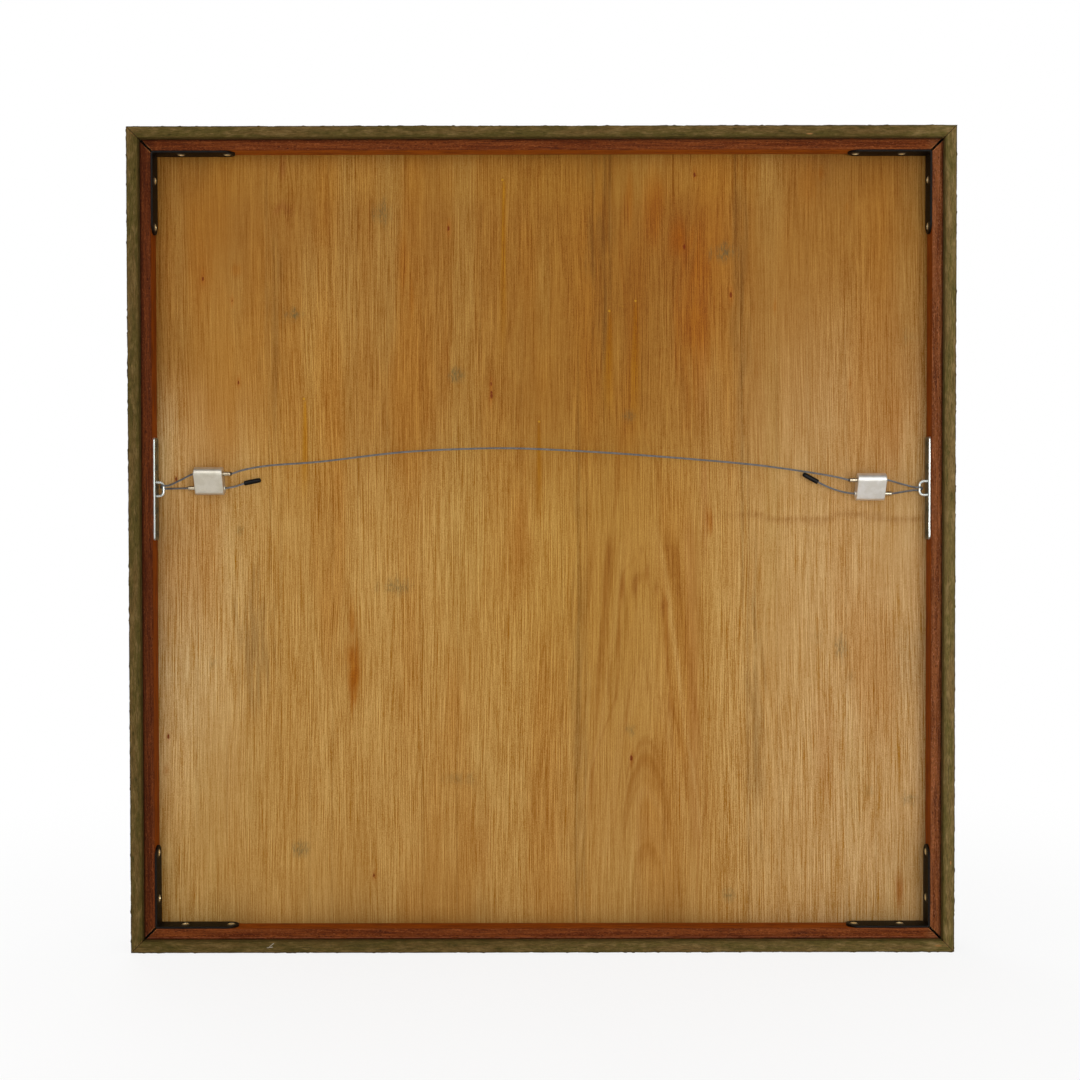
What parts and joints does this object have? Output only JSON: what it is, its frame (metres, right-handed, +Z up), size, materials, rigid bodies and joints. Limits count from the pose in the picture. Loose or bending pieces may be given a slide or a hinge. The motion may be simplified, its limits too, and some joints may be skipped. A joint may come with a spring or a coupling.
{
  "type": "floating frame",
  "caption": "Square floating frame seen with its back hardware: outer frame, recessed braced inner frame, plywood back, floated panel, strap hangers and a locking hanging wire.",
  "frame": {"origin": "centre of the whole object's box, which is the centre of the outer frame", "axes": "+Z up, X across the width, the front that shows the floated panel faces -Y, the back with the hanging hardware faces +Y towards the wall. In the node names left and right are as seen from the back, so left is +X."},
  "size_m": [0.8, 0.05, 0.8],
  "materials": {
    "olive_painted_wood": "rough matt olive-brown paint over coarse-grained wood, rubbed at the edges",
    "red_stained_wood": "red-brown stained hardwood, open grain, dull",
    "plywood": "unsealed veneer plywood, fine vertical grain with streaks and handling marks",
    "black_riser_wood": "matt black painted softwood",
    "primed_panel": "matt white primer with faint brush texture",
    "black_steel": "black coated steel with worn edges",
    "bright_zinc": "bright zinc-plated steel",
    "yellow_zinc": "pale yellow zinc-plated steel",
    "satin_alloy": "satin nickel-plated die casting",
    "champagne_nickel": "warm nickel plate on brass",
    "cable_steel": "stranded galvanised wire rope, dull grey",
    "bright_steel": "polished hardened steel",
    "black_rubber": "satin black moulded rubber"
  },
  "bodies": {
    "frame": {"brace_screw_bottom_left_1": "yellow_zinc", "brace_screw_bottom_left_2": "yellow_zinc", "brace_screw_bottom_left_3": "yellow_zinc", "brace_screw_bottom_left_4": "yellow_zinc", "brace_screw_bottom_right_1": "yellow_zinc", "brace_screw_bottom_right_2": "yellow_zinc", "brace_screw_bottom_right_3": "yellow_zinc", "brace_screw_bottom_right_4": "yellow_zinc", "brace_screw_top_left_1": "yellow_zinc", "brace_screw_top_left_2": "yellow_zinc", "brace_screw_top_left_3": "yellow_zinc", "brace_screw_top_left_4": "yellow_zinc", "brace_screw_top_right_1": "yellow_zinc", "brace_screw_top_right_2": "yellow_zinc", "brace_screw_top_right_3": "yellow_zinc", "brace_screw_top_right_4": "yellow_zinc", "corner_brace_bottom_left": "black_steel", "corner_brace_bottom_right": "black_steel", "corner_brace_top_left": "black_steel", "corner_brace_top_right": "black_steel", "float_panel": "primed_panel", "inner_rail_bottom": "red_stained_wood", "inner_rail_left": "red_stained_wood", "inner_rail_right": "red_stained_wood", "inner_rail_top": "red_stained_wood", "outer_rail_bottom": "olive_painted_wood", "outer_rail_left": "olive_painted_wood", "outer_rail_right": "olive_painted_wood", "outer_rail_top": "olive_painted_wood", "plywood_back_panel": "plywood", "riser_frame": "black_riser_wood", "strap_plate_left": "bright_zinc", "strap_plate_right": "bright_zinc", "strap_screw_left_1": "yellow_zinc", "strap_screw_left_2": "yellow_zinc", "strap_screw_left_3": "yellow_zinc", "strap_screw_left_4": "yellow_zinc", "strap_screw_right_1": "yellow_zinc", "strap_screw_right_2": "yellow_zinc", "strap_screw_right_3": "yellow_zinc", "strap_screw_right_4": "yellow_zinc"},
    "hanging_wire": {"hanging_cable": "cable_steel", "gripper_body_left": "satin_alloy", "gripper_body_right": "satin_alloy", "cable_end_cap_left": "black_rubber", "cable_end_cap_right": "black_rubber", "gripper_spring_left_lower": "bright_steel", "gripper_spring_left_upper": "bright_steel", "gripper_spring_right_lower": "bright_steel", "gripper_spring_right_upper": "bright_steel"},
    "ring_left": {"d_ring_left": "bright_zinc"},
    "ring_right": {"d_ring_right": "bright_zinc"},
    "plunger_left_lower": {"release_plunger_left_lower": "champagne_nickel", "gripping_ball_left_lower": "bright_steel"},
    "plunger_left_upper": {"release_plunger_left_upper": "champagne_nickel", "gripping_ball_left_upper": "bright_steel"},
    "plunger_right_lower": {"release_plunger_right_lower": "champagne_nickel", "gripping_ball_right_lower": "bright_steel"},
    "plunger_right_upper": {"release_plunger_right_upper": "champagne_nickel", "gripping_ball_right_upper": "bright_steel"}
  },
  "joints": [
    {"name": "wire_lift", "type": "hinge", "parent": "frame", "child": "hanging_wire", "pos_m": [0, 0.0015, 0.04], "axis": [-1, 0, 0], "range_deg": [0, 40]},
    {"name": "ring_left_swing", "type": "hinge", "parent": "frame", "child": "ring_left", "pos_m": [0.3797, 0.0065, 0.051], "axis": [0, 0, -1], "range_deg": [0, 56]},
    {"name": "ring_right_swing", "type": "hinge", "parent": "frame", "child": "ring_right", "pos_m": [-0.3797, 0.0065, 0.051], "axis": [0, 0, 1], "range_deg": [0, 32]},
    {"name": "release_left_upper", "type": "slide", "parent": "hanging_wire", "child": "plunger_left_upper", "axis": [1, 0, 0], "range_m": [0, 0.0025], "stiffness_N_per_m": 40, "deforming": ["gripper_spring_left_upper"]},
    {"name": "release_left_lower", "type": "slide", "parent": "hanging_wire", "child": "plunger_left_lower", "axis": [-1, 0, 0], "range_m": [0, 0.0025], "stiffness_N_per_m": 40, "deforming": ["gripper_spring_left_lower"]},
    {"name": "release_right_upper", "type": "slide", "parent": "hanging_wire", "child": "plunger_right_upper", "axis": [-1, 0, 0], "range_m": [0, 0.0025], "stiffness_N_per_m": 40, "deforming": ["gripper_spring_right_upper"]},
    {"name": "release_right_lower", "type": "slide", "parent": "hanging_wire", "child": "plunger_right_lower", "axis": [1, 0, 0], "range_m": [0, 0.0025], "stiffness_N_per_m": 40, "deforming": ["gripper_spring_right_lower"]}
  ],
  "couplings": [
    {"joint": "ring_left_swing", "follows": "wire_lift", "ratio": 1.4},
    {"joint": "ring_right_swing", "follows": "wire_lift", "ratio": 0.8}
  ]
}
